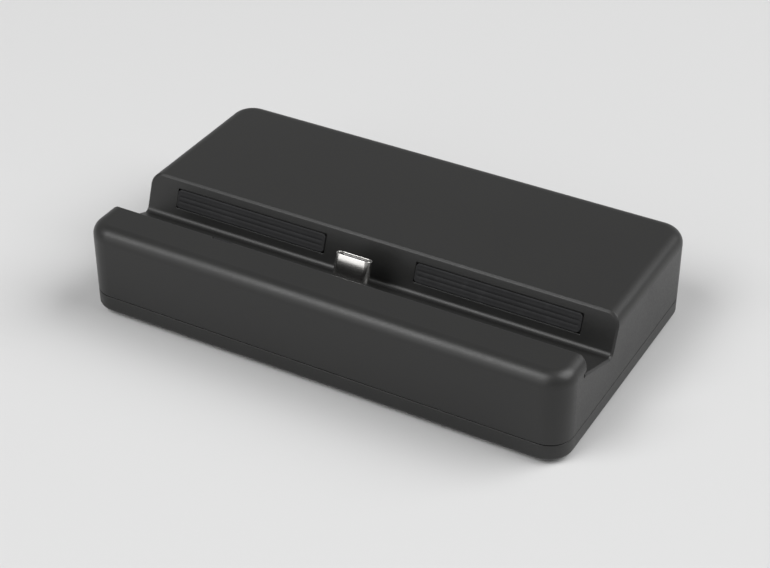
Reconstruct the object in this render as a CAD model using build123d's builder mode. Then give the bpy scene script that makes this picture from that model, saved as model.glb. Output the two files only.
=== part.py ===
from build123d import *
import math
import os

os.makedirs("parts", exist_ok=True)

# Low desktop dock for a handheld device: a rounded block with a tilted slot across its top,
# a docking plug standing in the slot and three sockets in the rear wall.
# X runs right along the front, Y runs back and Z runs up, in millimetres.
# The origin is on the floor, under the middle of the block.

# Block
width = 113.4
depth = 64.0
body_height = 20.7
corner_radius = 5.5
top_fillet = 3.0
bottom_fillet = 1.0
wall = 2.0
base_floor = 2.4
roof_rib_count = 4
roof_rib_pitch = 20.0
roof_rib_width = 1.2
roof_rib_drop = 1.5

# Parting line between the base cover and the upper housing
seam_height = 4.1
seam_gap = 0.25
tongue_height = 1.8
tongue_clearance = 0.15

# Tilted slot
device_thickness = 13.9
device_clearance = 0.35
slot_tilt = 20.0
lip_depth = 10.4
lip_height = 4.0
slot_wall = 2.0
slot_corner_fillet = 1.2
lip_edge_fillet = 0.4
rest_edge_fillet = 0.8
slot_end_chamfer = 0.4
relief_radius = 0.7

# Small notch in the rear edge of the lip
notch_x = -27.3
notch_width = 5.0
notch_depth = 0.9
notch_drop = 1.3

# Soft strips on the floor and on the rear wall of the slot
strip_start = 11.0
strip_length = 38.0
strip_thickness = 1.0
strip_proud = 0.3
strip_clearance = 0.1
floor_strip_width = 6.5
rest_strip_height = 4.2
rest_strip_rise = 5.0

# Docking plug
plug_width = 8.34
plug_thickness = 2.56
plug_wall = 0.2
plug_reach = 6.6
plug_drop = 7.0
plug_fit = 0.05
cavity_width = 6.7
cavity_height = 1.1
cavity_depth = 5.2
insulator_recess = 0.4
plug_contact_count = 12
plug_contact_pitch = 0.5
plug_contact_width = 0.26
plug_contact_thickness = 0.16
plug_contact_length = 3.8

# Soft collar round the plug and the moulded block that holds the plug
collar_length = 13.0
collar_width = 6.4
collar_proud = 0.5
collar_clearance = 0.1
block_length = 15.0
block_width = 7.4

# Small circuit board under the plug
plug_board_length = 31.0
plug_board_width = 13.4
plug_board_thickness = 1.2
plug_rib_spacing = 24.0
plug_rib_width = 1.6
plug_rib_length = 9.0
prop_length = 10.0
prop_width = 4.0

# Flat ribbon between the two circuit boards, with a socket at each end
ribbon_width = 10.0
ribbon_thickness = 0.3
ribbon_clearance = 0.05
ribbon_grip = 1.5
ribbon_bend = 1.5
ribbon_lead = 1.6
ribbon_socket_length = 12.4
ribbon_socket_depth = 2.4
ribbon_socket_height = 1.5
ribbon_socket_chamfer = 0.25

# Main circuit board
main_board_thickness = 1.6
board_lift = 2.6
board_side_gap = 7.0
board_front_gap = 2.6
board_rear_gap = 0.4
board_post_size = 5.0
board_post_inset = 4.3
board_post_front = 5.4
board_stop_thickness = 1.4
board_stop_clearance = 0.15
board_rib_length = 9.0
board_rib_width = 1.4
board_rib_inset = 8.0

# Rear sockets
socket_recess = 0.6
socket_clearance = 0.35
socket_wall = 0.3
insert_fit = 0.05
video_x = 0.0
video_width = 15.0
video_height = 5.6
video_length = 11.5
video_bevel = 1.9
video_shoulder = 2.3
video_insert_depth = 3.4
video_tongue_width = 11.6
video_tongue_thickness = 1.5
video_tongue_setback = 1.2
video_contact_count = 10
video_contact_pitch = 1.0
video_contact_width = 0.45
video_contact_length = 5.2
data_end_gap = 19.7
data_width = 13.2
data_height = 5.8
data_length = 14.0
data_insert_depth = 4.2
data_tongue_width = 11.2
data_tongue_thickness = 1.85
data_tongue_rise = 0.75
data_tongue_setback = 0.9
data_contact_count = 4
data_contact_pitch = 2.3
data_contact_width = 1.1
data_contact_length = 6.8
power_end_gap = 21.7
power_width = 8.94
power_height = 3.26
power_length = 7.4
power_insert_depth = 2.2
power_tongue_width = 6.7
power_tongue_thickness = 0.7
power_tongue_setback = 0.8
power_contact_count = 12
power_contact_pitch = 0.5
power_contact_width = 0.26
power_contact_length = 3.2
contact_thickness = 0.12

# Case screws
case_screw_radius = 1.25
case_screw_length = 9.0
case_head_radius = 2.3
case_head_height = 1.2
case_head_sink = 0.2
case_boss_radius = 2.8
screw_clearance = 0.1

# Feet
foot_radius = 5.0
foot_proud = 1.0
foot_sunk = 0.6
foot_clearance = 0.1
foot_inset_x = 15.5
foot_inset_y = 10.5

# Vent slots in the base
vent_count = 7
vent_pitch = 5.0
vent_length = 15.0
vent_width = 1.8
vent_y = 9.0

# Parts on the main board
can_height = 3.2
can_wall = 0.25
can_gap = 3.0
can_side_gap = 14.0
converter_size = 8.0
converter_height = 1.0
thermal_size = 7.0
hub_size = 6.0
controller_shift = 4.5
controller_size = 5.0
chip_height = 0.9
chip_chamfer = 0.15
coil_shift = 5.0
coil_gap = 3.0
coil_size = 7.0
coil_height = 4.0
coil_corner = 1.2
coil_top_chamfer = 0.5
drum_inset = 6.0
drum_pitch = 8.0
drum_count = 2
drum_radius = 3.15
drum_height = 5.8
drum_base = 6.6
drum_base_height = 0.6
drum_base_chamfer = 1.0
crystal_shift = 7.5
crystal_length = 3.2
crystal_width = 2.5
crystal_height = 0.8
crystal_chamfer = 0.2
chip_cap_shift = 9.0
chip_cap_length = 2.0
chip_cap_width = 1.25
chip_cap_height = 1.1
chip_cap_column_pitch = 3.2
chip_cap_row_pitch = 2.4
chip_cap_columns = 2
chip_cap_rows = 5

# Levels and places worked out from the sizes above
half_width = width / 2
half_depth = depth / 2
base_bottom = foot_proud
base_top = base_bottom + base_floor
rim_top = base_bottom + seam_height - seam_gap / 2
housing_bottom = rim_top + seam_gap
block_top = base_bottom + body_height
ceiling = block_top - wall
inner_width = width - 2 * wall
inner_depth = depth - 2 * wall
inner_corner = corner_radius - wall
rebate_top = rim_top + tongue_height + tongue_clearance
case_head_seat = base_bottom + case_head_sink + case_head_height
foot_x = half_width - foot_inset_x
foot_y = half_depth - foot_inset_y
foot_spots = {
    "foot_front_left": (-foot_x, -foot_y),
    "foot_front_right": (foot_x, -foot_y),
    "foot_rear_left": (-foot_x, foot_y),
    "foot_rear_right": (foot_x, foot_y),
}
corner_x = half_width - corner_radius
corner_y = half_depth - corner_radius
case_screw_spots = [(x, y) for x in (-corner_x, corner_x) for y in (-corner_y, corner_y)]
socket_mouth = half_depth - socket_recess

# The slot's section: across runs backwards along the slot's floor, along runs up its walls
tilt = math.radians(slot_tilt)
slot_width = device_thickness + 2 * device_clearance
half_slot = slot_width / 2
lip_edge_y = -half_depth + lip_depth
floor_y = lip_edge_y - lip_height * math.sin(tilt) + half_slot * math.cos(tilt)
floor_z = block_top - lip_height * math.cos(tilt) - half_slot * math.sin(tilt)
slot_plane = Plane(
    origin=(0, floor_y, floor_z), x_dir=(1, 0, 0), z_dir=(0, math.sin(tilt), math.cos(tilt))
)

slot_axis = Axis(slot_plane.origin, slot_plane.z_dir)


def section_point(across, along):
    """Place in the YZ section of a point measured along the slot's floor and up its walls."""
    place = slot_plane.from_local_coords(Vector(0, across, along))
    return (place.Y, place.Z)


def section_at_height(across, height):
    """Point of the YZ section where a line beside the slot's walls reaches a height."""
    start_y, start_z = section_point(across, 0)
    return (start_y + (height - start_z) * math.tan(tilt), height)


rest_y, rest_z = section_point(half_slot, rest_strip_rise)
rest_plane = Plane(
    origin=(0, rest_y, rest_z), x_dir=(1, 0, 0), z_dir=(0, -math.cos(tilt), math.sin(tilt))
)
strip_x = strip_start + strip_length / 2
strip_sunk = strip_thickness - strip_proud
rest_edge_y = section_at_height(half_slot, block_top)[0]
plug_board_plane = slot_plane.offset(-plug_drop)
plug_board_under = slot_plane.offset(-plug_drop - plug_board_thickness)
prop_front = section_point(-prop_width / 2, -plug_drop - plug_board_thickness)
prop_rear = section_point(prop_width / 2, -plug_drop - plug_board_thickness)
cavity_floor = plug_reach - insulator_recess - cavity_depth
ribbon_rise = ribbon_socket_height / 2

# Places on the main board, between the slot's trough and the rear wall
main_board_bottom = base_top + board_lift
main_board_top = main_board_bottom + main_board_thickness
main_board_width = inner_width - 2 * board_side_gap
data_x = -main_board_width / 2 + data_end_gap
power_x = main_board_width / 2 - power_end_gap
main_board_front = section_point(half_slot + slot_wall, -slot_wall)[0] + board_front_gap
main_board_rear = half_depth - wall - board_rear_gap
main_board_depth = main_board_rear - main_board_front
main_board_y = (main_board_front + main_board_rear) / 2
board_post_x = main_board_width / 2 - board_post_inset
board_post_y = main_board_front + board_post_front
bracket_front = main_board_front - board_stop_clearance - board_stop_thickness
bracket_rear = board_post_y + board_post_size / 2
board_rib_spots = [(x, main_board_rear - board_rib_inset) for x in (video_x, data_x, power_x)]
can_width = power_x - data_x - 2 * can_side_gap
can_front = main_board_front + ribbon_socket_depth + can_gap
can_rear = socket_mouth - video_length - can_gap
can_y = (can_front + can_rear) / 2
hub_y = (main_board_front + socket_mouth - data_length) / 2
coil_y = socket_mouth - power_length - coil_gap - coil_size / 2
drum_y = main_board_front + drum_inset
drum_side = drum_base / 2
drum_clip = drum_side - drum_base_chamfer
drum_foot = [
    (-drum_side, -drum_side), (drum_side, -drum_side), (drum_side, drum_clip),
    (drum_clip, drum_side), (-drum_clip, drum_side), (-drum_side, drum_clip),
]
on_board = Plane.XY.offset(main_board_top)


def socket_plane(x, height, back):
    """Plane across a rear socket, back from its mouth, facing out of the rear wall."""
    return Plane(
        origin=(x, socket_mouth - back, main_board_top + height / 2), x_dir=(-1, 0, 0), z_dir=(0, 1, 0)
    )


def video_outline(growth, mode=Mode.ADD):
    """Outline of the video socket, wide at the top with bevelled lower corners."""
    side = video_width / 2 + growth
    top = video_height / 2 + growth
    shoulder = top - video_shoulder - growth
    foot = side - video_bevel
    Polygon(
        (-side, top), (side, top), (side, shoulder), (foot, -top), (-foot, -top), (-side, shoulder),
        align=None, mode=mode,
    )


def data_outline(growth, mode=Mode.ADD):
    """Outline of the data socket, a plain rectangle."""
    Rectangle(data_width + 2 * growth, data_height + 2 * growth, mode=mode)


def power_outline(growth, mode=Mode.ADD):
    """Outline of the power socket, with full round ends."""
    SlotOverall(power_width + 2 * growth, power_height + 2 * growth, mode=mode)


# Upper housing: block with rounded edges, hollow from below
with BuildPart() as upper_housing:
    with BuildSketch(Plane.XY.offset(housing_bottom)):
        RectangleRounded(width, depth, corner_radius)
    extrude(amount=block_top - housing_bottom)
    fillet(upper_housing.faces().sort_by(Axis.Z)[-1].edges(), top_fillet)
    with BuildSketch(Plane.XY.offset(housing_bottom)):
        RectangleRounded(inner_width, inner_depth, inner_corner)
    extrude(amount=ceiling - housing_bottom, mode=Mode.SUBTRACT)
    # Rebate that takes the base cover's tongue
    with BuildSketch(Plane.XY.offset(housing_bottom)):
        RectangleRounded(width - wall, depth - wall, corner_radius - wall / 2)
    extrude(amount=rebate_top - housing_bottom, mode=Mode.SUBTRACT)
    # Trough that carries the slot, from side wall to side wall
    with BuildSketch(Plane.YZ):
        with BuildLine():
            Polyline(
                section_at_height(-half_slot - slot_wall, block_top - wall / 2),
                section_point(-half_slot - slot_wall, -slot_wall),
                section_point(half_slot + slot_wall, -slot_wall),
                section_at_height(half_slot + slot_wall, block_top - wall / 2),
                close=True,
            )
        make_face()
    extrude(amount=half_width - wall / 2, both=True)
    # Bosses for the corner screws, posts against the main board and ribs against the plug's board
    with BuildSketch(Plane.XY.offset(base_top)):
        with Locations(*case_screw_spots):
            Circle(case_boss_radius)
    extrude(amount=block_top - wall / 2 - base_top)
    with BuildSketch(Plane.XY.offset(main_board_top)):
        with Locations((-board_post_x, board_post_y), (board_post_x, board_post_y)):
            Rectangle(board_post_size, board_post_size)
    extrude(amount=block_top - wall / 2 - main_board_top)
    with BuildSketch(plug_board_plane):
        with GridLocations(plug_rib_spacing, plug_rib_length, 2, 1):
            Rectangle(plug_rib_width, plug_rib_length)
    extrude(amount=plug_drop - slot_wall / 2)
    # Ribs under the roof, from the trough to the rear wall
    with BuildSketch(Plane.XY.offset(ceiling - roof_rib_drop)):
        with Locations((0, (rest_edge_y + half_depth - wall / 2) / 2)):
            with GridLocations(roof_rib_pitch, depth, roof_rib_count, 1):
                Rectangle(roof_rib_width, half_depth - wall / 2 - rest_edge_y - slot_wall)
    extrude(amount=roof_rib_drop + wall / 2)
    # The slot itself, open at both ends, with a relief along its front corner
    with BuildSketch(Plane.YZ) as slot_section:
        with BuildLine():
            Polyline(
                section_at_height(-half_slot, block_top + lip_height),
                section_point(-half_slot, 0),
                section_point(half_slot, 0),
                section_at_height(half_slot, block_top + lip_height),
                close=True,
            )
        make_face()
        fillet(slot_section.vertices().sort_by(Axis.Y)[0], slot_corner_fillet)
        with Locations(section_point(-half_slot, 0)):
            Circle(relief_radius)
        with BuildLine():
            Polyline(
                (lip_edge_y - lip_height, block_top),
                (rest_edge_y + lip_height, block_top),
                (rest_edge_y + lip_height, block_top + lip_height),
                (lip_edge_y - lip_height, block_top + lip_height),
                close=True,
            )
        make_face()
        rims = slot_section.vertices().filter_by_position(
            Axis.Y, block_top - relief_radius, block_top + relief_radius
        ).sort_by(Axis.X)
        fillet(rims[1], lip_edge_fillet)
        fillet(rims[2], rest_edge_fillet)
    extrude(amount=width, both=True, mode=Mode.SUBTRACT)
    # Bevelled edges where the slot runs out at the two ends
    slot_ends = [
        upper_housing.edges().sort_by_distance((side, floor_y, floor_z))[0]
        for side in (-half_width, half_width)
    ]
    chamfer(slot_ends, slot_end_chamfer)
    # Notch in the lip's rear edge
    with BuildSketch(Plane.XY.offset(block_top)):
        with Locations((notch_x, lip_edge_y)):
            Rectangle(notch_width, 2 * notch_depth)
    extrude(amount=-notch_drop, mode=Mode.SUBTRACT)
    # Shallow seats for the soft strips
    with BuildSketch(slot_plane):
        with Locations((-strip_x, 0), (strip_x, 0)):
            Rectangle(strip_length + 2 * strip_clearance, floor_strip_width + 2 * strip_clearance)
    extrude(amount=-strip_sunk, mode=Mode.SUBTRACT)
    with BuildSketch(rest_plane):
        with Locations((-strip_x, 0), (strip_x, 0)):
            Rectangle(strip_length + 2 * strip_clearance, rest_strip_height + 2 * strip_clearance)
    extrude(amount=-strip_sunk, mode=Mode.SUBTRACT)
    # Opening for the plug's collar in the slot's floor
    with BuildSketch(slot_plane):
        SlotOverall(collar_length + 2 * collar_clearance, collar_width + 2 * collar_clearance)
    extrude(amount=-slot_wall, mode=Mode.SUBTRACT)
    # Openings for the rear sockets
    with BuildSketch(socket_plane(video_x, video_height, wall)):
        video_outline(socket_clearance)
    extrude(amount=2 * wall, mode=Mode.SUBTRACT)
    with BuildSketch(socket_plane(data_x, data_height, wall)):
        data_outline(socket_clearance)
    extrude(amount=2 * wall, mode=Mode.SUBTRACT)
    with BuildSketch(socket_plane(power_x, power_height, wall)):
        power_outline(socket_clearance)
    extrude(amount=2 * wall, mode=Mode.SUBTRACT)
    # Pilot holes for the case screws
    with BuildSketch(Plane.XY.offset(base_top)):
        with Locations(*case_screw_spots):
            Circle(case_screw_radius + screw_clearance)
    extrude(amount=case_head_seat + case_screw_length - base_top, mode=Mode.SUBTRACT)
upper_housing.part.label = "upper_housing"
export_step(upper_housing.part, "parts/upper_housing.step")

# Base cover: shallow tray with a rounded lower edge and a tongue round its rim
with BuildPart() as base_cover:
    with BuildSketch(Plane.XY.offset(base_bottom)):
        RectangleRounded(width, depth, corner_radius)
    extrude(amount=rim_top - base_bottom)
    fillet(base_cover.faces().sort_by(Axis.Z)[0].edges(), bottom_fillet)
    with BuildSketch(Plane.XY.offset(base_top)):
        RectangleRounded(inner_width, inner_depth, inner_corner)
    extrude(amount=rim_top - base_top, mode=Mode.SUBTRACT)
    with BuildSketch(Plane.XY.offset(rim_top)):
        RectangleRounded(
            width - wall - 2 * tongue_clearance,
            depth - wall - 2 * tongue_clearance,
            corner_radius - wall / 2 - tongue_clearance,
        )
        RectangleRounded(inner_width, inner_depth, inner_corner, mode=Mode.SUBTRACT)
    extrude(amount=tongue_height)
    # Ribs under the main board, below its sockets
    with BuildSketch(Plane.XY.offset(base_top)):
        with Locations(*board_rib_spots):
            Rectangle(board_rib_length, board_rib_width)
    extrude(amount=board_lift)
    # Brackets under the front of the main board, with a stop before its edge
    with BuildSketch(Plane.XY.offset(base_top)):
        with Locations((0, (bracket_front + bracket_rear) / 2)):
            with GridLocations(2 * board_post_x, depth, 2, 1):
                Rectangle(board_post_size, bracket_rear - bracket_front)
    extrude(amount=board_lift)
    with BuildSketch(Plane.XY.offset(main_board_bottom)):
        with Locations((0, bracket_front + board_stop_thickness / 2)):
            with GridLocations(2 * board_post_x, depth, 2, 1):
                Rectangle(board_post_size, board_stop_thickness)
    extrude(amount=main_board_thickness)
    # Sloping prop that takes the docking load from the plug's board
    with BuildSketch(Plane.YZ):
        with BuildLine():
            Polyline(
                (prop_front[0], base_top), (prop_rear[0], base_top), prop_rear, prop_front, close=True
            )
        make_face()
    extrude(amount=prop_length / 2, both=True)
    # Screw holes with sunk heads, seats for the feet and vent slots
    with Locations(Plane.XY.offset(base_bottom).rotated((180, 0, 0))):
        with Locations(*case_screw_spots):
            CounterBoreHole(
                radius=case_screw_radius + screw_clearance,
                counter_bore_radius=case_head_radius + screw_clearance,
                counter_bore_depth=case_head_seat - base_bottom,
            )
    with BuildSketch(Plane.XY.offset(base_bottom)):
        with Locations(*foot_spots.values()):
            Circle(foot_radius + foot_clearance)
    extrude(amount=foot_sunk, mode=Mode.SUBTRACT)
    with BuildSketch(Plane.XY.offset(base_bottom)):
        with Locations((0, vent_y)):
            with GridLocations(vent_pitch, vent_length, vent_count, 1):
                Rectangle(vent_width, vent_length)
    extrude(amount=base_floor, mode=Mode.SUBTRACT)
base_cover.part.label = "base_cover"
export_step(base_cover.part, "parts/base_cover.step")

# Rubber feet: flat discs sunk into the base cover
for foot_name, foot_spot in foot_spots.items():
    with BuildPart() as foot:
        with BuildSketch():
            with Locations(foot_spot):
                Circle(foot_radius)
        extrude(amount=foot_proud + foot_sunk)
    foot.part.label = foot_name
    export_step(foot.part, f"parts/{foot_name}.step")

# Soft strips: two on the slot's floor and two on its rear wall
strips = {
    "floor_strip_left": (slot_plane, -strip_x, floor_strip_width),
    "floor_strip_right": (slot_plane, strip_x, floor_strip_width),
    "rest_strip_left": (rest_plane, -strip_x, rest_strip_height),
    "rest_strip_right": (rest_plane, strip_x, rest_strip_height),
}
for strip_name, (strip_face, middle_x, strip_across) in strips.items():
    with BuildPart() as strip:
        with BuildSketch(strip_face.offset(-strip_sunk)):
            with Locations((middle_x, 0)):
                Rectangle(strip_length, strip_across)
        extrude(amount=strip_thickness)
    strip.part.label = strip_name
    export_step(strip.part, f"parts/{strip_name}.step")

# Soft collar in the slot's floor, round the plug
with BuildPart() as plug_collar:
    with BuildSketch(slot_plane.offset(-slot_wall)):
        SlotOverall(collar_length, collar_width)
    extrude(amount=slot_wall + collar_proud)
    with BuildSketch(slot_plane.offset(-slot_wall)):
        SlotOverall(plug_width + 2 * plug_fit, plug_thickness + 2 * plug_fit)
    extrude(amount=slot_wall + collar_proud, mode=Mode.SUBTRACT)
plug_collar.part.label = "plug_collar"
export_step(plug_collar.part, "parts/plug_collar.step")

# Plug: a drawn steel shell, open at its tip
with BuildPart() as plug_shell:
    with BuildSketch(plug_board_plane):
        SlotOverall(plug_width, plug_thickness)
    extrude(amount=plug_drop + plug_reach)
    with BuildSketch(plug_board_plane):
        SlotOverall(plug_width - 2 * plug_wall, plug_thickness - 2 * plug_wall)
    extrude(amount=plug_drop + plug_reach, mode=Mode.SUBTRACT)
plug_shell.part.label = "plug_shell"
export_step(plug_shell.part, "parts/plug_shell.step")

# Insulator inside the shell, with the cavity that receives the mating tongue
with BuildPart() as plug_insulator:
    with BuildSketch(plug_board_plane):
        SlotOverall(
            plug_width - 2 * plug_wall - 2 * plug_fit, plug_thickness - 2 * plug_wall - 2 * plug_fit
        )
    extrude(amount=plug_drop + plug_reach - insulator_recess)
    with BuildSketch(slot_plane.offset(cavity_floor)):
        Rectangle(cavity_width, cavity_height)
    extrude(amount=cavity_depth, mode=Mode.SUBTRACT)
plug_insulator.part.label = "plug_insulator"
export_step(plug_insulator.part, "parts/plug_insulator.step")

# Two rows of contacts along the cavity's long walls
with BuildPart() as plug_contacts:
    with BuildSketch(slot_plane.offset(cavity_floor)):
        with GridLocations(plug_contact_pitch, cavity_height - plug_contact_thickness, plug_contact_count, 2):
            Rectangle(plug_contact_width, plug_contact_thickness)
    extrude(amount=plug_contact_length)
plug_contacts.part.label = "plug_contacts"
export_step(plug_contacts.part, "parts/plug_contacts.step")

# Moulded block that holds the plug square on its board
with BuildPart() as plug_block:
    with BuildSketch(plug_board_plane):
        Rectangle(block_length, block_width)
        SlotOverall(plug_width + 2 * plug_fit, plug_thickness + 2 * plug_fit, mode=Mode.SUBTRACT)
    extrude(amount=plug_drop - slot_wall)
plug_block.part.label = "plug_block"
export_step(plug_block.part, "parts/plug_block.step")

# Circuit board under the plug, held between the housing's ribs and the base cover's prop
with BuildPart() as plug_board:
    with BuildSketch(plug_board_under):
        Rectangle(plug_board_length, plug_board_width)
    extrude(amount=plug_board_thickness)
plug_board.part.label = "plug_board"
export_step(plug_board.part, "parts/plug_board.step")

# Ribbon sockets, one at the rear edge of the plug's board and one at the front edge of the main board
with BuildPart() as ribbon_socket_front:
    with BuildSketch(plug_board_plane):
        with Locations((0, plug_board_width / 2 - ribbon_socket_depth / 2)):
            Rectangle(ribbon_socket_length, ribbon_socket_depth)
    extrude(amount=ribbon_socket_height)
    chamfer(ribbon_socket_front.faces().sort_by(slot_axis)[-1].edges(), ribbon_socket_chamfer)
    with BuildSketch(plug_board_plane.offset(ribbon_socket_height / 2)):
        with Locations((0, plug_board_width / 2)):
            Rectangle(ribbon_width + 2 * ribbon_clearance, 2 * (ribbon_grip + ribbon_clearance))
    extrude(amount=ribbon_thickness / 2 + ribbon_clearance, both=True, mode=Mode.SUBTRACT)
ribbon_socket_front.part.label = "ribbon_socket_front"
export_step(ribbon_socket_front.part, "parts/ribbon_socket_front.step")

with BuildPart() as ribbon_socket_rear:
    with BuildSketch(on_board):
        with Locations((0, main_board_front + ribbon_socket_depth / 2)):
            Rectangle(ribbon_socket_length, ribbon_socket_depth)
    extrude(amount=ribbon_socket_height)
    chamfer(ribbon_socket_rear.faces().sort_by(Axis.Z)[-1].edges(), ribbon_socket_chamfer)
    with BuildSketch(on_board.offset(ribbon_socket_height / 2)):
        with Locations((0, main_board_front)):
            Rectangle(ribbon_width + 2 * ribbon_clearance, 2 * (ribbon_grip + ribbon_clearance))
    extrude(amount=ribbon_thickness / 2 + ribbon_clearance, both=True, mode=Mode.SUBTRACT)
ribbon_socket_rear.part.label = "ribbon_socket_rear"
export_step(ribbon_socket_rear.part, "parts/ribbon_socket_rear.step")

# Flat ribbon from the plug's board to the main board
with BuildPart() as ribbon_cable:
    with BuildSketch(Plane.YZ):
        with BuildLine():
            FilletPolyline(
                section_point(plug_board_width / 2 - ribbon_grip, ribbon_rise - plug_drop),
                section_point(plug_board_width / 2 + ribbon_lead, ribbon_rise - plug_drop),
                (main_board_front - ribbon_lead, main_board_top + ribbon_rise),
                (main_board_front + ribbon_grip, main_board_top + ribbon_rise),
                radius=ribbon_bend,
            )
        trace(line_width=ribbon_thickness)
    extrude(amount=ribbon_width / 2, both=True)
ribbon_cable.part.label = "ribbon_cable"
export_step(ribbon_cable.part, "parts/ribbon_cable.step")

# Main circuit board, held between the base cover's brackets and ribs and the housing's posts
with BuildPart() as main_board:
    with BuildSketch(Plane.XY.offset(main_board_bottom)):
        with Locations((0, main_board_y)):
            Rectangle(main_board_width, main_board_depth)
    extrude(amount=main_board_thickness)
main_board.part.label = "main_board"
export_step(main_board.part, "parts/main_board.step")

# Video socket: folded steel shell, insert with a tongue, and its contacts
video_back = socket_plane(video_x, video_height, video_length)
with BuildPart() as video_socket_shell:
    with BuildSketch(video_back):
        video_outline(0)
        video_outline(-socket_wall, mode=Mode.SUBTRACT)
    extrude(amount=video_length)
video_socket_shell.part.label = "video_socket_shell"
export_step(video_socket_shell.part, "parts/video_socket_shell.step")

with BuildPart() as video_socket_insert:
    with BuildSketch(video_back):
        video_outline(-socket_wall - insert_fit)
    extrude(amount=video_insert_depth)
    with BuildSketch(video_back):
        Rectangle(video_tongue_width, video_tongue_thickness)
    extrude(amount=video_length - video_tongue_setback)
video_socket_insert.part.label = "video_socket_insert"
export_step(video_socket_insert.part, "parts/video_socket_insert.step")

with BuildPart() as video_socket_contacts:
    with BuildSketch(video_back.offset(video_insert_depth)):
        with GridLocations(
            video_contact_pitch, video_tongue_thickness + contact_thickness, video_contact_count, 2
        ):
            Rectangle(video_contact_width, contact_thickness)
    extrude(amount=video_contact_length)
video_socket_contacts.part.label = "video_socket_contacts"
export_step(video_socket_contacts.part, "parts/video_socket_contacts.step")

# Data socket: shell, insert with a tongue above its middle, and four contacts under the tongue
data_back = socket_plane(data_x, data_height, data_length)
with BuildPart() as data_socket_shell:
    with BuildSketch(data_back):
        data_outline(0)
        data_outline(-socket_wall, mode=Mode.SUBTRACT)
    extrude(amount=data_length)
data_socket_shell.part.label = "data_socket_shell"
export_step(data_socket_shell.part, "parts/data_socket_shell.step")

with BuildPart() as data_socket_insert:
    with BuildSketch(data_back):
        data_outline(-socket_wall - insert_fit)
    extrude(amount=data_insert_depth)
    with BuildSketch(data_back):
        with Locations((0, data_tongue_rise)):
            Rectangle(data_tongue_width, data_tongue_thickness)
    extrude(amount=data_length - data_tongue_setback)
data_socket_insert.part.label = "data_socket_insert"
export_step(data_socket_insert.part, "parts/data_socket_insert.step")

with BuildPart() as data_socket_contacts:
    with BuildSketch(data_back.offset(data_insert_depth)):
        with Locations((0, data_tongue_rise - data_tongue_thickness / 2 - contact_thickness / 2)):
            with GridLocations(data_contact_pitch, data_height, data_contact_count, 1):
                Rectangle(data_contact_width, contact_thickness)
    extrude(amount=data_contact_length)
data_socket_contacts.part.label = "data_socket_contacts"
export_step(data_socket_contacts.part, "parts/data_socket_contacts.step")

# Power socket: shell with round ends, insert with a thin tongue, and two rows of contacts
power_back = socket_plane(power_x, power_height, power_length)
with BuildPart() as power_socket_shell:
    with BuildSketch(power_back):
        power_outline(0)
        power_outline(-socket_wall, mode=Mode.SUBTRACT)
    extrude(amount=power_length)
power_socket_shell.part.label = "power_socket_shell"
export_step(power_socket_shell.part, "parts/power_socket_shell.step")

with BuildPart() as power_socket_insert:
    with BuildSketch(power_back):
        power_outline(-socket_wall - insert_fit)
    extrude(amount=power_insert_depth)
    with BuildSketch(power_back):
        Rectangle(power_tongue_width, power_tongue_thickness)
    extrude(amount=power_length - power_tongue_setback)
power_socket_insert.part.label = "power_socket_insert"
export_step(power_socket_insert.part, "parts/power_socket_insert.step")

with BuildPart() as power_socket_contacts:
    with BuildSketch(power_back.offset(power_insert_depth)):
        with GridLocations(
            power_contact_pitch, power_tongue_thickness + contact_thickness, power_contact_count, 2
        ):
            Rectangle(power_contact_width, contact_thickness)
    extrude(amount=power_contact_length)
power_socket_contacts.part.label = "power_socket_contacts"
export_step(power_socket_contacts.part, "parts/power_socket_contacts.step")

# Chips on the main board
chips = {
    "converter_chip": (0, can_y, converter_size, converter_height),
    "hub_chip": (data_x, hub_y, hub_size, chip_height),
    "power_chip": (power_x - controller_shift, coil_y, controller_size, chip_height),
}
for chip_name, (chip_x, chip_y, chip_size, chip_rise) in chips.items():
    with BuildPart() as chip:
        with BuildSketch(on_board):
            with Locations((chip_x, chip_y)):
                Rectangle(chip_size, chip_size)
        extrude(amount=chip_rise)
        chamfer(chip.faces().sort_by(Axis.Z)[-1].edges(), chip_chamfer)
    chip.part.label = chip_name
    export_step(chip.part, f"parts/{chip_name}.step")

# Thermal pad between the converter chip and the shield can's roof
with BuildPart() as thermal_pad:
    with BuildSketch(on_board.offset(converter_height)):
        with Locations((0, can_y)):
            Rectangle(thermal_size, thermal_size)
    extrude(amount=can_height - can_wall - converter_height)
thermal_pad.part.label = "thermal_pad"
export_step(thermal_pad.part, "parts/thermal_pad.step")

# Shield can: folded steel lid over the converter chip
with BuildPart() as shield_can:
    with BuildSketch(on_board):
        with Locations((0, can_y)):
            Rectangle(can_width, can_rear - can_front)
    extrude(amount=can_height)
    with BuildSketch(on_board):
        with Locations((0, can_y)):
            Rectangle(can_width - 2 * can_wall, can_rear - can_front - 2 * can_wall)
    extrude(amount=can_height - can_wall, mode=Mode.SUBTRACT)
shield_can.part.label = "shield_can"
export_step(shield_can.part, "parts/shield_can.step")

# Power coil in a moulded ferrite case
with BuildPart() as power_coil:
    with BuildSketch(on_board):
        with Locations((power_x + coil_shift, coil_y)):
            Rectangle(coil_size, coil_size)
    extrude(amount=coil_height)
    chamfer(power_coil.edges().filter_by(Axis.Z), coil_corner)
    chamfer(power_coil.faces().sort_by(Axis.Z)[-1].edges(), coil_top_chamfer)
power_coil.part.label = "power_coil"
export_step(power_coil.part, "parts/power_coil.step")

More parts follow.
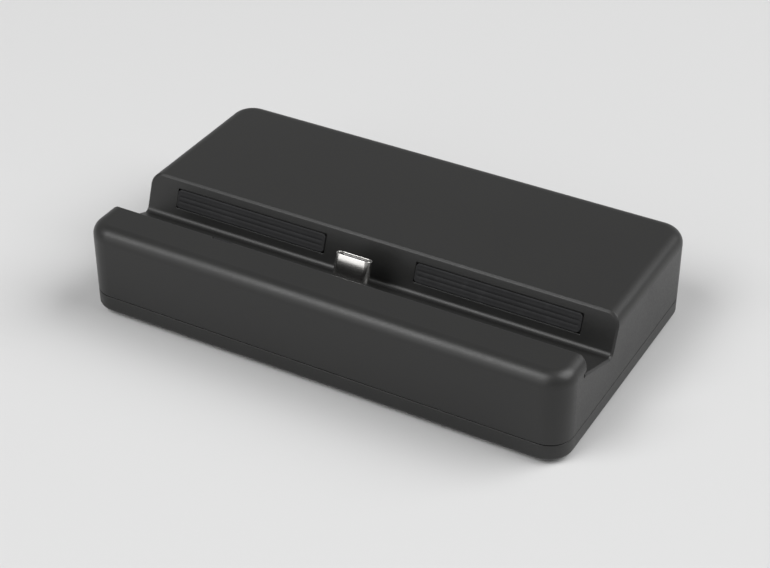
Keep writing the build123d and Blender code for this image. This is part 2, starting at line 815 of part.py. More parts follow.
# Drum capacitors: a round can on a square foot with two clipped corners
with BuildPart() as drum_capacitors:
    with BuildSketch(on_board):
        with Locations((power_x, drum_y)):
            with GridLocations(drum_pitch, drum_pitch, drum_count, 1):
                Polygon(*drum_foot, align=None)
    extrude(amount=drum_base_height)
    with BuildSketch(on_board.offset(drum_base_height)):
        with Locations((power_x, drum_y)):
            with GridLocations(drum_pitch, drum_pitch, drum_count, 1):
                Circle(drum_radius)
    extrude(amount=drum_height)
drum_capacitors.part.label = "drum_capacitors"
export_step(drum_capacitors.part, "parts/drum_capacitors.step")

# Small ceramic capacitors beside the hub chip
with BuildPart() as chip_capacitors:
    with BuildSketch(on_board):
        with Locations((data_x + chip_cap_shift, hub_y)):
            with GridLocations(
                chip_cap_column_pitch, chip_cap_row_pitch, chip_cap_columns, chip_cap_rows
            ):
                Rectangle(chip_cap_length, chip_cap_width)
    extrude(amount=chip_cap_height)
chip_capacitors.part.label = "chip_capacitors"
export_step(chip_capacitors.part, "parts/chip_capacitors.step")

# Timing crystal in a low metal can
with BuildPart() as timing_crystal:
    with BuildSketch(on_board):
        with Locations((data_x - crystal_shift, hub_y)):
            Rectangle(crystal_length, crystal_width)
    extrude(amount=crystal_height)
    chamfer(timing_crystal.faces().sort_by(Axis.Z)[-1].edges(), crystal_chamfer)
timing_crystal.part.label = "timing_crystal"
export_step(timing_crystal.part, "parts/timing_crystal.step")

# Case screws, driven from below into the housing's bosses
with BuildPart() as case_screws:
    with BuildSketch(Plane.XY.offset(case_head_seat)):
        with Locations(*case_screw_spots):
            Circle(case_head_radius)
    extrude(amount=-case_head_height)
    with BuildSketch(Plane.XY.offset(case_head_seat)):
        with Locations(*case_screw_spots):
            Circle(case_screw_radius)
    extrude(amount=case_screw_length)
case_screws.part.label = "case_screws"
export_step(case_screws.part, "parts/case_screws.step")
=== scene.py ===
import math

import bpy
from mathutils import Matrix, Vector


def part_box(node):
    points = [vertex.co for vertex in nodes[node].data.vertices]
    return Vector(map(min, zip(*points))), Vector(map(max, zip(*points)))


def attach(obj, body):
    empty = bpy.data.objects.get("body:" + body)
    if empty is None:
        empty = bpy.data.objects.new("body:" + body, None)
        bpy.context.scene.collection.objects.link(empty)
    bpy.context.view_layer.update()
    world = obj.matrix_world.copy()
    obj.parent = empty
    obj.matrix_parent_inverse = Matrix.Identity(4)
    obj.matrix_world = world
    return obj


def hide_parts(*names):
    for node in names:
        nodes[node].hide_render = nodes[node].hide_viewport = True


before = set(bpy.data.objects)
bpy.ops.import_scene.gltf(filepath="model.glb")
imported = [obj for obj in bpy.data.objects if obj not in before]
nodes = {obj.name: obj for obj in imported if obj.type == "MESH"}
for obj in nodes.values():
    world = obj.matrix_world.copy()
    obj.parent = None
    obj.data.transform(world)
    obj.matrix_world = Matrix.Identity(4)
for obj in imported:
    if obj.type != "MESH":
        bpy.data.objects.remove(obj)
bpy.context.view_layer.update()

# Looks for a low desktop dock: charcoal moulded plastic, soft strips, a plated plug and sockets.
# Lengths are in metres, in the frame of the part.
MM = 0.001
scene = bpy.context.scene

# The middle of the slot's floor, and the slot's own directions: up along its walls and back along its floor
tilt = math.radians(20.0)
slot_origin = Vector((0.0, -16.108 * MM, 15.444 * MM))
slot_half_width = 7.3 * MM
right = Vector((1.0, 0.0, 0.0))
slot_up = Vector((0.0, math.sin(tilt), math.cos(tilt)))
slot_back = Vector((0.0, math.cos(tilt), -math.sin(tilt)))

# Sockets of the node that mixes colours: its factor, its two colours and its result
MIX_FACTOR, MIX_FIRST, MIX_SECOND, MIX_RESULT = 0, 6, 7, 2

# Softened edges: rays that look for one, and how far normals agree where an edge counts in full
edge_samples = 6
edge_agreement = 0.85


def shade(colour, factor):
    """A colour made darker or lighter."""
    return tuple(channel * factor for channel in colour)


class Look:
    """A node material that is put together around its Principled shader."""

    def __init__(self, name):
        self.material = bpy.data.materials.new(name)
        self.material.use_nodes = True
        self.tree = self.material.node_tree
        self.shader = self.tree.nodes["Principled BSDF"]
        self.place = self.tree.nodes.new("ShaderNodeTexCoord").outputs["Object"]

    def link(self, start, end):
        self.tree.links.new(start, end)

    def put(self, socket, value):
        """Sets a constant on one of the shader's sockets."""
        self.shader.inputs[socket].default_value = value

    def feed(self, socket, value):
        """Links another node's value to one of the shader's sockets."""
        self.link(value, self.shader.inputs[socket])

    def stretched(self, scale):
        """The surface's place, scaled along each axis."""
        mapping = self.tree.nodes.new("ShaderNodeMapping")
        mapping.inputs["Scale"].default_value = scale
        self.link(self.place, mapping.inputs["Vector"])
        return mapping.outputs["Vector"]

    def noise(self, scale, detail=2.0, place=None):
        texture = self.tree.nodes.new("ShaderNodeTexNoise")
        texture.inputs["Scale"].default_value = scale
        texture.inputs["Detail"].default_value = detail
        self.link(place or self.place, texture.inputs["Vector"])
        return texture.outputs["Fac"]

    def ranged(self, value, low, high, start=0.25, end=0.75):
        """A value between start and end, taken to the range from low to high."""
        mapped = self.tree.nodes.new("ShaderNodeMapRange")
        mapped.inputs["From Min"].default_value = start
        mapped.inputs["From Max"].default_value = end
        mapped.inputs["To Min"].default_value = low
        mapped.inputs["To Max"].default_value = high
        self.link(value, mapped.inputs["Value"])
        return mapped.outputs["Result"]

    def mixed(self, factor, first, second):
        """A colour between two colours. The first may come from another node."""
        mix = self.tree.nodes.new("ShaderNodeMix")
        mix.data_type = "RGBA"
        self.link(factor, mix.inputs[MIX_FACTOR])
        if isinstance(first, tuple):
            mix.inputs[MIX_FIRST].default_value = (*first, 1.0)
        else:
            self.link(first, mix.inputs[MIX_FIRST])
        mix.inputs[MIX_SECOND].default_value = (*second, 1.0)
        return mix.outputs[MIX_RESULT]

    def mottled(self, colour, darker, lighter, scale, detail=2.0):
        """A colour that drifts between a darker and a lighter shade."""
        drift = self.ranged(self.noise(scale, detail), low=0.0, high=1.0)
        return self.mixed(drift, shade(colour, darker), shade(colour, lighter))

    def summed(self, first, second):
        total = self.tree.nodes.new("ShaderNodeMath")
        total.operation = "ADD"
        self.link(first, total.inputs[0])
        self.link(second, total.inputs[1])
        return total.outputs[0]

    def bump(self, height, strength, distance, normal=None):
        relief = self.tree.nodes.new("ShaderNodeBump")
        relief.inputs["Strength"].default_value = strength
        relief.inputs["Distance"].default_value = distance
        self.link(height, relief.inputs["Height"])
        if normal is not None:
            self.link(normal, relief.inputs["Normal"])
        return relief.outputs["Normal"]

    def soft_edges(self, radius):
        """Normals rounded over sharp edges, and how far they lean from the true ones."""
        rounded = self.tree.nodes.new("ShaderNodeBevel")
        rounded.samples = edge_samples
        rounded.inputs["Radius"].default_value = radius
        true_normal = self.tree.nodes.new("ShaderNodeNewGeometry").outputs["Normal"]
        dot = self.tree.nodes.new("ShaderNodeVectorMath")
        dot.operation = "DOT_PRODUCT"
        self.link(rounded.outputs["Normal"], dot.inputs[0])
        self.link(true_normal, dot.inputs[1])
        lean = self.ranged(dot.outputs["Value"], low=1.0, high=0.0, start=edge_agreement, end=1.0)
        return rounded.outputs["Normal"], lean


def moulded_plastic(name, colour):
    """Plastic with a fine eroded grain, faint handling marks and slightly polished edges."""
    look = Look(name)
    grain = look.noise(scale=2900.0)
    base = look.mottled(colour, darker=0.92, lighter=1.08, scale=28.0, detail=3.0)
    speck = look.ranged(grain, low=0.0, high=0.35, start=0.5, end=0.8)
    base = look.mixed(speck, base, shade(colour, 1.45))
    rounded, lean = look.soft_edges(radius=0.28 * MM)
    polish = look.ranged(lean, low=0.0, high=0.3, start=0.0, end=1.0)
    look.feed("Base Color", look.mixed(polish, base, shade(colour, 1.7)))
    marks = look.ranged(look.noise(scale=55.0, detail=4.0), low=-0.03, high=0.04)
    look.feed("Roughness", look.summed(marks, look.ranged(grain, low=0.34, high=0.44)))
    look.put("Specular IOR Level", 0.45)
    look.feed("Normal", look.bump(grain, strength=0.22, distance=0.06 * MM, normal=rounded))
    return look.material


def rubber(name, colour):
    """Matt rubber with a fine dull grain and a trace of dust."""
    look = Look(name)
    grain = look.noise(scale=3600.0, detail=3.0)
    base = look.mottled(colour, darker=0.85, lighter=1.15, scale=90.0)
    dust = look.ranged(look.noise(scale=420.0, detail=5.0), low=0.0, high=0.22, start=0.55, end=0.8)
    look.feed("Base Color", look.mixed(dust, base, shade(colour, 3.0)))
    look.feed("Roughness", look.ranged(grain, low=0.66, high=0.86))
    look.put("Specular IOR Level", 0.3)
    look.feed("Normal", look.bump(grain, strength=0.3, distance=0.05 * MM))
    return look.material


def plated_metal(name, colour, rough, streaks, spread=0.02):
    """Plated metal with fine streaks along the way it was drawn."""
    look = Look(name)
    lines = look.noise(scale=1.0, detail=3.0, place=look.stretched(streaks))
    look.feed("Base Color", look.mottled(colour, darker=0.9, lighter=1.06, scale=260.0, detail=3.0))
    look.put("Metallic", 1.0)
    look.feed("Roughness", look.ranged(lines, low=rough - spread, high=rough + spread))
    return look.material


def small_part(name, colour, rough, spread=0.06):
    """Moulded resin, ceramic or gel of a small part, with a faint mottle."""
    look = Look(name)
    grain = look.noise(scale=1800.0, detail=3.0)
    look.feed("Base Color", look.mottled(colour, darker=0.88, lighter=1.12, scale=300.0))
    look.feed("Roughness", look.ranged(grain, low=rough - spread, high=rough + spread))
    look.feed("Normal", look.bump(grain, strength=0.15, distance=0.03 * MM))
    return look.material


def board_laminate(name):
    """Green circuit board with fine tracks that show through its coating."""
    look = Look(name)
    tracks = look.tree.nodes.new("ShaderNodeTexBrick")
    tracks.inputs["Scale"].default_value = 260.0
    tracks.inputs["Mortar Size"].default_value = 0.035
    tracks.inputs["Color1"].default_value = (0.010, 0.060, 0.030, 1.0)
    tracks.inputs["Color2"].default_value = (0.013, 0.070, 0.034, 1.0)
    tracks.inputs["Mortar"].default_value = (0.030, 0.130, 0.060, 1.0)
    look.link(look.place, tracks.inputs["Vector"])
    look.feed("Base Color", tracks.outputs["Color"])
    look.feed("Roughness", look.ranged(look.noise(scale=900.0), low=0.28, high=0.38))
    look.feed("Normal", look.bump(tracks.outputs["Fac"], strength=0.2, distance=0.03 * MM))
    return look.material


def ribbon_film(name):
    """Pale flat ribbon with its conductors as faint lines."""
    look = Look(name)
    film, copper = (0.72, 0.72, 0.70), (0.55, 0.50, 0.42)
    lines = look.tree.nodes.new("ShaderNodeTexWave")
    lines.bands_direction = "X"
    lines.inputs["Scale"].default_value = 320.0
    look.link(look.place, lines.inputs["Vector"])
    strands = look.ranged(lines.outputs["Fac"], low=0.0, high=1.0, start=0.4, end=0.8)
    look.feed("Base Color", look.mixed(strands, film, copper))
    look.feed("Roughness", look.ranged(look.noise(scale=700.0), low=0.34, high=0.44))
    look.feed("Normal", look.bump(strands, strength=0.2, distance=0.03 * MM))
    return look.material


charcoal = (0.0125, 0.0125, 0.0120)
nickel = (0.63, 0.62, 0.60)
gold = (0.83, 0.62, 0.27)
aluminium = (0.72, 0.72, 0.73)
dark_zinc = (0.20, 0.20, 0.21)
looks = {
    "housing_plastic": moulded_plastic("look_housing", charcoal),
    "base_plastic": moulded_plastic("look_base", charcoal),
    "foot_rubber": rubber("look_foot_rubber", (0.018, 0.018, 0.019)),
    "pad_rubber": rubber("look_strip_rubber", (0.022, 0.022, 0.023)),
    "collar_rubber": rubber("look_collar_rubber", (0.020, 0.020, 0.021)),
    "plated_steel": plated_metal("look_plated_steel", nickel, 0.24, streaks=(5200.0, 420.0, 420.0)),
    "port_plastic": small_part("look_port_plastic", (0.016, 0.016, 0.017), 0.42),
    "contact_gold": plated_metal("look_contact_gold", gold, 0.28, streaks=(3600.0, 300.0, 300.0)),
    "board_laminate": board_laminate("look_board"),
    "ribbon_film": ribbon_film("look_ribbon"),
    "chip_resin": small_part("look_chip_resin", (0.020, 0.020, 0.021), 0.55),
    "thermal_gel": small_part("look_thermal_gel", (0.42, 0.44, 0.47), 0.62),
    "coil_ferrite": small_part("look_coil_ferrite", (0.060, 0.060, 0.062), 0.66),
    "drum_aluminium": plated_metal("look_drum", aluminium, 0.30, streaks=(400.0, 400.0, 2800.0)),
    "capacitor_body": small_part("look_capacitor", (0.30, 0.22, 0.14), 0.48),
    "screw_steel": plated_metal("look_screw_steel", dark_zinc, 0.36, streaks=(900.0, 900.0, 900.0)),
}
for node in nodes.values():
    finish = node.material_slots[0]
    finish.material = looks[finish.material.name]


def add_piece(name, points, faces, slot):
    """A smooth mesh piece that rides with the part and takes its finish from a slot."""
    mesh = bpy.data.meshes.new(name)
    mesh.from_pydata(points, [], faces)
    mesh.shade_smooth()
    mesh.materials.append(looks[slot])
    piece = bpy.data.objects.new(name, mesh)
    scene.collection.objects.link(piece)
    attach(piece, "root")
    return piece


def lofted(rings, closed):
    """Points and faces through rings of equal count: closed on itself, or capped at both ends."""
    count = len(rings[0])
    points = [point for ring in rings for point in ring]
    faces = []
    for level in range(len(rings) if closed else len(rings) - 1):
        low = level * count
        high = (level + 1) % len(rings) * count
        for step in range(count):
            after = (step + 1) % count
            faces.append((low + step, low + after, high + after, high + step))
    if not closed:
        faces.append(tuple(reversed(range(count))))
        faces.append(tuple(range(len(points) - count, len(points))))
    return points, faces


def joined(meshes):
    """Points and faces of several meshes as one."""
    points, faces = [], []
    for more_points, more_faces in meshes:
        faces += [tuple(index + len(points) for index in face) for face in more_faces]
        points += more_points
    return points, faces


def quarter(steps):
    """Cosine and sine pairs over a quarter turn."""
    turns = [math.pi / 2 * step / steps for step in range(steps + 1)]
    return [(math.cos(turn), math.sin(turn)) for turn in turns]


def turned(x, y, radius, height, turn):
    """A point about an upright axis at x and y, with its radius and height in millimetres."""
    return Vector((x + radius * MM * math.cos(turn), y + radius * MM * math.sin(turn), height * MM))


# Soft strips: rounded corners and edges, with low rounded ribs along them
strip_length = 38.0 * MM
strip_sunk = 0.7 * MM
strip_proud = 0.3 * MM
strip_corner = 0.9 * MM
strip_corner_shares = (0.35, 0.5, 0.7, 1.0)
strip_edge = 0.24 * MM
strip_edge_steps = 5
strip_along_steps = 12
rib_steps = 12
rib_depth = 0.17 * MM
rib_margin = 0.5 * MM
rib_fade = 0.25 * MM


def eased(value):
    """Smooth step from 0 to 1."""
    held = min(max(value, 0.0), 1.0)
    return held * held * (3.0 - 2.0 * held)


def strip_stations(half, inner_steps):
    """Places along a side, close together where the edge is rounded."""
    near = [half - strip_edge * (1.0 - cosine) for cosine, sine in quarter(strip_edge_steps)]
    corner = [half - strip_corner * share for share in strip_corner_shares]
    inner = [corner[-1] * step / inner_steps for step in range(inner_steps)]
    side = inner + corner[::-1] + near[::-1]
    return [-place for place in side[:0:-1]] + side


def ribbed_strip(name, node, middle, across, outward, width, rib_count):
    """A soft strip in its seat, in place of its plain solid."""
    half_length = strip_length / 2
    half_width = width / 2
    ribbed = half_width - rib_margin
    along_stations = strip_stations(half_length, strip_along_steps)
    across_stations = strip_stations(half_width, rib_steps * rib_count)
    top, bottom = [], []
    for u in along_stations:
        from_end = half_length - abs(u)
        lean = strip_corner - min(from_end, strip_corner)
        reach = half_width - strip_corner + math.sqrt(strip_corner**2 - lean**2)
        for v in across_stations:
            placed = v / half_width * reach
            from_edge = min(from_end, reach - abs(placed))
            curve = strip_edge - min(from_edge, strip_edge)
            drop = strip_edge - math.sqrt(strip_edge**2 - curve**2)
            wave = abs(math.sin(math.pi * rib_count * (placed + ribbed) / (2.0 * ribbed)))
            fade = eased((from_edge - rib_margin) / rib_fade)
            groove = rib_depth * (1.0 - math.sqrt(wave)) * fade
            spot = middle + right * u + across * placed
            top.append(spot + outward * (strip_proud - drop - groove))
            bottom.append(spot - outward * strip_sunk)
    rows, columns = len(along_stations), len(across_stations)
    points = top + bottom
    under = len(top)
    faces = []
    for row in range(rows - 1):
        for column in range(columns - 1):
            a = row * columns + column
            b = a + columns
            faces.append((a, b, b + 1, a + 1))
            faces.append((under + a, under + a + 1, under + b + 1, under + b))
    border = list(range(columns))
    border += [row * columns + columns - 1 for row in range(1, rows)]
    border += [(rows - 1) * columns + column for column in range(columns - 2, -1, -1)]
    border += [row * columns for row in range(rows - 2, 0, -1)]
    for here, there in zip(border, border[1:] + border[:1]):
        faces.append((here, there, under + there, under + here))
    piece = add_piece(name, points, faces, "pad_rubber")
    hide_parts(node)


floor_strip_width = 6.5 * MM
floor_strip_ribs = 5
rest_strip_height = 4.2 * MM
rest_strip_ribs = 3
rest_strip_rise = 5.0 * MM
strip_middle = 30.0 * MM
rest_origin = slot_origin + slot_back * slot_half_width + slot_up * rest_strip_rise
for side, shift in (("left", -strip_middle), ("right", strip_middle)):
    offset = right * shift
    ribbed_strip(
        f"ribbed_floor_strip_{side}", f"floor_strip_{side}",
        slot_origin + offset, slot_back, slot_up, floor_strip_width, floor_strip_ribs,
    )
    ribbed_strip(
        f"ribbed_rest_strip_{side}", f"rest_strip_{side}",
        rest_origin + offset, slot_up, -slot_back, rest_strip_height, rest_strip_ribs,
    )

# Outlines of the plug: how many steps a round end has, and which way a rounded edge leads as it rises
end_steps = 28
INWARDS, OUTWARDS = -1.0, 1.0


def stadium(length, width, height):
    """Outline with full round ends in the slot's frame, at a height above the slot's floor."""
    radius = width / 2
    reach = length / 2 - radius
    outline = []
    for end in (1.0, -1.0):
        for step in range(end_steps + 1):
            turn = math.pi * step / end_steps - math.pi / 2
            outline.append((end * (reach + radius * math.cos(turn)), end * radius * math.sin(turn)))
    return [slot_origin + right * x + slot_back * y + slot_up * height for x, y in outline]


def rounded_rim(length, width, top, radius, arc, way):
    """Outlines over a rounded edge below a flat top, in the order of the arc."""
    rings = []
    for cosine, sine in arc:
        change = way * 2.0 * radius * (1.0 - cosine)
        rings.append(stadium(length + change, width + change, top - radius * (1.0 - sine)))
    return rings


# Soft collar round the plug: rounded outer edge, a shallow groove and a rolled inner lip.
# The groove's profile runs inwards, as inset and depth in millimetres.
collar_length = 13.0 * MM
collar_width = 6.4 * MM
collar_base = -2.0 * MM
collar_top = 0.5 * MM
collar_round = 0.45 * MM
collar_arc = quarter(6)
lip_round = 0.35 * MM
hole_length = 8.44 * MM
hole_width = 2.66 * MM
groove_profile = [(0.70, 0.0), (0.82, 0.03), (0.95, 0.13), (1.10, 0.13), (1.22, 0.03), (1.34, 0.0)]
collar_rings = [stadium(collar_length, collar_width, collar_base)]
collar_rings += rounded_rim(collar_length, collar_width, collar_top, collar_round, collar_arc, INWARDS)
for inset, sink in groove_profile:
    narrowed = 2.0 * inset * MM
    collar_rings.append(
        stadium(collar_length - narrowed, collar_width - narrowed, collar_top - sink * MM)
    )
collar_rings += rounded_rim(hole_length, hole_width, collar_top, lip_round, collar_arc[::-1], OUTWARDS)
collar_rings.append(stadium(hole_length, hole_width, collar_base))
collar = add_piece("rolled_plug_collar", *lofted(collar_rings, True), "collar_rubber")
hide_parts("plug_collar")

# Plug shell: drawn steel with a rolled tip, open from end to end. The arcs of its tip meet at the top.
shell_length = 8.34 * MM
shell_width = 2.56 * MM
shell_foot = -7.0 * MM
shell_tip = 6.6 * MM
shell_thickness = 0.2 * MM
shell_roll = 0.1 * MM
bore_length = shell_length - 2.0 * shell_thickness
bore_width = shell_width - 2.0 * shell_thickness
outer_arc = quarter(4)
inner_arc = outer_arc[-2::-1]
shell_rings = [stadium(shell_length, shell_width, shell_foot)]
shell_rings += rounded_rim(shell_length, shell_width, shell_tip, shell_roll, outer_arc, INWARDS)
shell_rings += rounded_rim(bore_length, bore_width, shell_tip, shell_roll, inner_arc, OUTWARDS)
shell_rings.append(stadium(bore_length, bore_width, shell_foot))
shell = add_piece("drawn_plug_shell", *lofted(shell_rings, True), "plated_steel")
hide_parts("plug_shell")

# Feet: moulded discs with a rounded edge, a flat tread ring and a sunk middle with a bead.
# The profile runs from the middle of the underside outwards and up, as radius and height in millimetres.
foot_sides = 72
foot_radius = 5.0
foot_height = 1.6
foot_edge = 0.45
foot_edge_steps = 6
foot_chamfer = 0.1
foot_profile = [
    (0.35, 0.22), (1.10, 0.22), (1.30, 0.12), (1.60, 0.10), (1.90, 0.12), (2.10, 0.22),
    (2.85, 0.22), (3.05, 0.15), (3.20, 0.03), (3.35, 0.0),
]
for cosine, sine in reversed(quarter(foot_edge_steps)):
    foot_profile.append((foot_radius - foot_edge * (1.0 - cosine), foot_edge * (1.0 - sine)))
foot_profile += [(foot_radius, foot_height - foot_chamfer), (foot_radius - foot_chamfer, foot_height)]
foot_turns = [2.0 * math.pi * step / foot_sides for step in range(foot_sides)]
for place in ("front_left", "front_right", "rear_left", "rear_right"):
    low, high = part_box(f"foot_{place}")
    centre = (low + high) / 2
    foot_rings = [
        [turned(centre.x, centre.y, radius, height, turn) for turn in foot_turns]
        for radius, height in foot_profile
    ]
    foot = add_piece(f"tread_foot_{place}", *lofted(foot_rings, False), "foot_rubber")
    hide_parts(f"foot_{place}")

# Case screws: low domed heads with a tapered cross recess, seen from below. Sizes are in millimetres.
arm_reach = 1.15
arm_half = 0.27
recess_taper = 0.72
recess_floor = 0.85
head_radius = 2.3
head_height = 1.2
shank_radius = 1.25
tip_radius = 0.5
tip_length = 0.5
quadrant_steps = 14
least_share = 1e-6
corner_turn = math.atan2(arm_half, arm_reach)
quadrant = {math.pi / 2 * step / quadrant_steps for step in range(quadrant_steps)}
quadrant |= {corner_turn, math.pi / 2 - corner_turn}
screw_turns = [turn + math.pi / 2 * step for step in range(4) for turn in sorted(quadrant)]


def cross_reach(turn):
    """Distance from the middle to the edge of a cross in a direction."""
    across = max(abs(math.cos(turn)), least_share)
    up = max(abs(math.sin(turn)), least_share)
    return max(min(arm_reach / across, arm_half / up), min(arm_half / across, arm_reach / up))


low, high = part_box("case_screws")
screw_x = high.x - head_radius * MM
screw_y = high.y - head_radius * MM
head_face = low.z / MM
screw_length = high.z / MM - head_face
round_profile = [
    (1.75, 0.0), (2.05, 0.05), (2.22, 0.16), (head_radius, 0.36), (head_radius, head_height),
    (shank_radius, head_height), (shank_radius, screw_length - tip_length), (tip_radius, screw_length),
]
screw_profiles = [
    [(cross_reach(turn) * recess_taper, recess_floor) for turn in screw_turns],
    [(cross_reach(turn), 0.0) for turn in screw_turns],
]
screw_profiles += [[spot] * len(screw_turns) for spot in round_profile]
screw_meshes = []
for x in (-screw_x, screw_x):
    for y in (-screw_y, screw_y):
        rings = []
        for profile in screw_profiles:
            rings.append([
                turned(x, y, radius, head_face + rise, turn)
                for turn, (radius, rise) in zip(screw_turns, profile)
            ])
        screw_meshes.append(lofted(rings, False))
screws = add_piece("cross_head_case_screws", *joined(screw_meshes), "screw_steel")
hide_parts("case_screws")

# Socket shells: folded steel with rounded corners and a rolled rim at the mouth
shell_wall = 0.3 * MM
rim_roll = 0.12 * MM
rim_steps = 4
fold_radius = 0.6 * MM
fold_steps = 8
power_fold_share = 0.98
video_bevel = 1.9 * MM
video_shoulder = 2.3 * MM


def rounded_outline(corners, radius):
    """Closed outline through the corners of a convex shape, each rounded with an arc."""
    outline = []
    for index, corner in enumerate(corners):
        before = (corners[index - 1] - corner).normalized()
        after = (corners[(index + 1) % len(corners)] - corner).normalized()
        half_angle = before.angle(after) / 2
        centre = corner + (before + after).normalized() * (radius / math.sin(half_angle))
        start = corner + before * (radius / math.tan(half_angle)) - centre
        end = corner + after * (radius / math.tan(half_angle)) - centre
        for step in range(fold_steps + 1):
            outline.append(centre + start.lerp(end, step / fold_steps).normalized() * radius)
    return outline


def socket_corners(socket, side, top):
    """Corners of a socket's outline, seen from behind. The video socket's lower corners are cut off."""
    if socket == "video":
        shoulder = top - video_shoulder
        foot = side - video_bevel
        spots = [
            (-side, top), (-side, shoulder), (-foot, -top),
            (foot, -top), (side, shoulder), (side, top),
        ]
    else:
        spots = [(-side, top), (-side, -top), (side, -top), (side, top)]
    return [Vector(spot) for spot in spots]


rim_profile = [
    (rim_roll * (1.0 - cosine), rim_roll * (1.0 - sine)) for cosine, sine in quarter(rim_steps)
]
rim_profile += [(shell_wall - inset, back) for inset, back in reversed(rim_profile)]
for socket in ("video", "data", "power"):
    low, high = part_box(f"{socket}_socket_shell")
    centre = (low + high) / 2
    half = (high - low) / 2
    fold = half.z * power_fold_share if socket == "power" else fold_radius
    shell_profile = [(0.0, 2.0 * half.y), *rim_profile, (shell_wall, 2.0 * half.y)]
    rings = []
    for inset, back in shell_profile:
        corners = socket_corners(socket, half.x - inset, half.z - inset)
        outline = rounded_outline(corners, fold - inset)
        rings.append([Vector((centre.x - u, high.y - back, centre.z + v)) for u, v in outline])
    shell = add_piece(f"rolled_{socket}_shell", *lofted(rings, True), "plated_steel")
    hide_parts(f"{socket}_socket_shell")

# Leaf springs inside the two large sockets, bowed in from the shell's roof and floor
leaf_thickness = 0.14 * MM
leaf_steps = 18
leaf_sharpness = 1.5
mouth_gap = 0.5 * MM
downwards = Vector((0.0, 0.0, -1.0))
upwards = Vector((0.0, 0.0, 1.0))


def leaf(start, inward, length, width, bow):
    """Points and faces of one leaf that runs forwards from its start and bows up or down."""
    side = right * (inward.z * width / 2)
    thick = inward * leaf_thickness
    rings = []
    for step in range(leaf_steps + 1):
        share = step / leaf_steps
        lift = inward * (bow * math.sin(math.pi * share) ** leaf_sharpness)
        spot = start + Vector((0.0, -length * share, 0.0)) + lift
        rings.append([spot - side, spot + side, spot + side + thick, spot - side + thick])
    return lofted(rings, False)


# Each socket's leaves in millimetres: length, width, bow, then how far they stand from the middle
# on the roof and on the floor
socket_leaves = {
    "video": (5.0, 1.7, 0.42, 3.4, 2.6),
    "data": (6.0, 1.9, 0.38, 3.1, 3.1),
}
for socket, (length, width, bow, roof_reach, floor_reach) in socket_leaves.items():
    low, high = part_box(f"{socket}_socket_shell")
    middle_x = (low.x + high.x) / 2
    mouth_y = high.y - mouth_gap
    leaves = []
    for height, inward, reach in (
        (high.z - shell_wall, downwards, roof_reach * MM),
        (low.z + shell_wall, upwards, floor_reach * MM),
    ):
        for x in (middle_x - reach, middle_x + reach):
            start = Vector((x, mouth_y, height))
            leaves.append(leaf(start, inward, length * MM, width * MM, bow * MM))
    add_piece(f"{socket}_socket_springs", *joined(leaves), "plated_steel")

# Floor: one pale sheet, far larger than the part
sheet_reach = 4.0
sheet_corners = [(-1.0, -1.0, 0.0), (1.0, -1.0, 0.0), (1.0, 1.0, 0.0), (-1.0, 1.0, 0.0)]
dark_tone, light_tone = (0.66, 0.66, 0.66), (0.69, 0.69, 0.69)
floor_mesh = bpy.data.meshes.new("floor")
floor_mesh.from_pydata(sheet_corners, [], [(0, 1, 2, 3)])
floor = bpy.data.objects.new("floor", floor_mesh)
floor.scale = (sheet_reach, sheet_reach, 1.0)
floor_look = Look("look_floor")
floor_drift = floor_look.ranged(floor_look.noise(scale=3.0), low=0.0, high=1.0)
floor_look.feed("Base Color", floor_look.mixed(floor_drift, dark_tone, light_tone))
floor_look.put("Roughness", 0.7)
floor_look.put("Specular IOR Level", 0.2)
floor_mesh.materials.append(floor_look.material)
scene.collection.objects.link(floor)


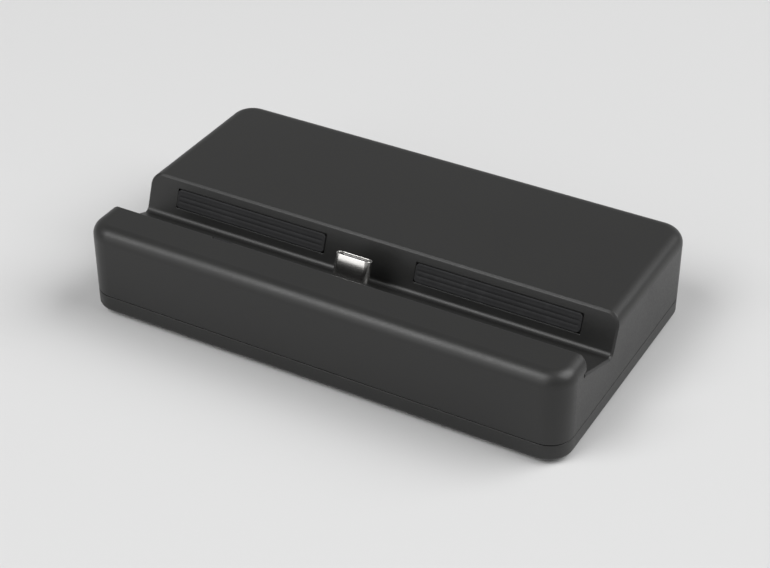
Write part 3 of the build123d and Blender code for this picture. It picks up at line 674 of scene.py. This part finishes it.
def softbox(name, place, aim, size, power):
    """A square area light that faces a point."""
    lamp = bpy.data.lights.new(name, "AREA")
    lamp.shape = "SQUARE"
    lamp.size = size
    lamp.energy = power
    light = bpy.data.objects.new(name, lamp)
    light.location = place
    light.rotation_euler = (Vector(aim) - Vector(place)).to_track_quat("-Z", "Y").to_euler()
    scene.collection.objects.link(light)


# Soft studio light: two boxes at the front left, high and low, and a large one behind on the right
dock_middle = (0.0, 0.0, 0.012)
softbox("key_light", place=(-0.80, -1.43, 2.00), aim=dock_middle, size=1.45, power=38.0)
softbox("fill_light", place=(-0.62, -1.98, 0.80), aim=dock_middle, size=1.50, power=9.5)
softbox("side_light", place=(1.55, 0.80, 1.80), aim=dock_middle, size=2.00, power=57.0)

# World: faint even light, and a brighter grey where it is seen directly or in a reflection
ambient_strength = 0.12
seen_grey = (0.42, 0.42, 0.42, 1.0)
world = bpy.data.worlds.new("studio")
world.use_nodes = True
scene.world = world
sky = world.node_tree
ambient = sky.nodes["Background"]
ambient.inputs["Color"].default_value = (1.0, 1.0, 1.0, 1.0)
ambient.inputs["Strength"].default_value = ambient_strength
seen = sky.nodes.new("ShaderNodeBackground")
seen.inputs["Color"].default_value = seen_grey
rays = sky.nodes.new("ShaderNodeLightPath")
direct = rays.outputs["Is Camera Ray"]
for ray in ("Is Glossy Ray", "Is Transmission Ray"):
    either = sky.nodes.new("ShaderNodeMath")
    either.operation = "MAXIMUM"
    sky.links.new(direct, either.inputs[0])
    sky.links.new(rays.outputs[ray], either.inputs[1])
    direct = either.outputs[0]
blend = sky.nodes.new("ShaderNodeMixShader")
sky.links.new(direct, blend.inputs[0])
sky.links.new(ambient.outputs[0], blend.inputs[1])
sky.links.new(seen.outputs[0], blend.inputs[2])
sky.links.new(blend.outputs[0], sky.nodes["World Output"].inputs["Surface"])

# Camera: where the photograph was taken from, with a longer lens turned to the part
eye = Vector((0.1594, -0.2854, 0.2309))
aim = Vector((0.0015, -0.0035, 0.0090))
camera_data = bpy.data.cameras.new("camera")
camera_data.lens = 85.0
camera_data.sensor_width = 36.0
camera = bpy.data.objects.new("camera", camera_data)
camera.location = eye
camera.rotation_euler = (aim - eye).to_track_quat("-Z", "Y").to_euler()
scene.collection.objects.link(camera)
scene.camera = camera
scene.view_settings.view_transform = "Standard"
